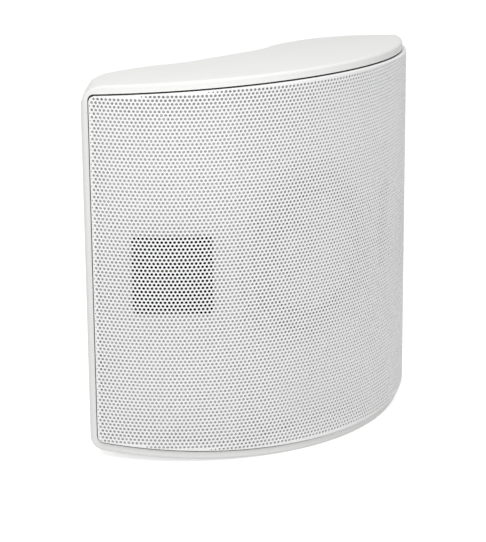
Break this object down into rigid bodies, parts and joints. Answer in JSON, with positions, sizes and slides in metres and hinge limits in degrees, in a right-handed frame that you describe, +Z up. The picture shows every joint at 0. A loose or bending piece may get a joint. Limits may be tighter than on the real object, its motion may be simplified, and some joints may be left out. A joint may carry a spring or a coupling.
{
  "type": "surround speaker",
  "caption": "White wall surround speaker with a bowed perforated grille, angled ribbon tweeters either side of a woofer and rear lobes with a cable channel.",
  "frame": {"origin": "bottom centre of the speaker's box, on the surface under its lowest edge", "axes": "+Z up, the grille faces -Y, +X to the right seen from the front"},
  "size_m": [0.3006, 0.1334, 0.281],
  "materials": {
    "white_shell": "fine satin paint on a moulded shell",
    "grille_paint": "satin powder coat on perforated steel",
    "baffle_white": "matt moulded",
    "gasket_foam": "closed-cell foam",
    "zinc_screw": "zinc plated",
    "black_screw": "black oxide",
    "basket_paint": "grey paint",
    "surround_rubber": "pale butyl roll",
    "cone_fibre": "pressed fibre cone",
    "cap_fibre": "pressed fibre dome",
    "coil_copper": "enamelled copper wire",
    "spider_cloth": "resin-treated cotton",
    "motor_steel": "plated mild steel",
    "ferrite": "sintered ferrite",
    "tweeter_black": "satin black",
    "amber_film": "amber polymer film",
    "black_plastic": "fine moulded texture",
    "gold_plate": "gold plated",
    "knob_black": "fluted, glossy",
    "knob_red": "fluted, glossy",
    "board_resin": "bare resin board",
    "film_can": "film capacitor",
    "hanger_steel": "zinc plated strip"
  },
  "bodies": {
    "cabinet_body": {"cabinet": "white_shell", "back_panel": "white_shell", "grille": "grille_paint", "grille_seal": "gasket_foam", "front_baffle": "baffle_white", "baffle_gasket": "gasket_foam", "baffle_screws": "zinc_screw", "woofer_frame": "basket_paint", "woofer_surround": "surround_rubber", "spider": "spider_cloth", "top_plate": "motor_steel", "magnet": "ferrite", "yoke": "motor_steel", "woofer_screws": "black_screw", "tweeter_screws": "black_screw", "hanger_screws": "zinc_screw", "terminal_plate": "black_plastic", "post_negative": "gold_plate", "post_positive": "gold_plate", "post_nuts": "gold_plate", "solder_tags": "gold_plate", "terminal_screws": "black_screw", "crossover_board": "board_resin", "crossover_inductors": "coil_copper", "crossover_capacitors": "film_can", "crossover_screws": "zinc_screw", "tweeter_plate_left": "tweeter_black", "tweeter_diaphragm_left": "amber_film", "tweeter_cup_left": "black_plastic", "tweeter_magnet_left": "ferrite", "wall_hanger_left": "hanger_steel", "hanger_housing_left": "black_plastic", "tweeter_plate_right": "tweeter_black", "tweeter_diaphragm_right": "amber_film", "tweeter_cup_right": "black_plastic", "tweeter_magnet_right": "ferrite", "wall_hanger_right": "hanger_steel", "hanger_housing_right": "black_plastic"},
    "cone": {"woofer_cone": "cone_fibre", "dust_cap": "cap_fibre", "voice_coil": "coil_copper"},
    "knob_negative": {"knob_negative": "knob_black"},
    "knob_positive": {"knob_positive": "knob_red"}
  },
  "joints": [
    {"name": "cone_travel", "type": "slide", "parent": "cabinet_body", "child": "cone", "axis": [0, 1, 0], "range_m": [-0.003, 0.003], "stiffness_N_per_m": 1200, "deforming": ["woofer_surround", "spider"]},
    {"name": "knob_negative_turn", "type": "hinge", "parent": "cabinet_body", "child": "knob_negative", "pos_m": [-0.00953, 0.05475, 0.062], "axis": [0, 1, 0], "range_deg": [0, 720]},
    {"name": "knob_positive_turn", "type": "hinge", "parent": "cabinet_body", "child": "knob_positive", "pos_m": [0.00953, 0.05475, 0.062], "axis": [0, 1, 0], "range_deg": [0, 720]}
  ]
}
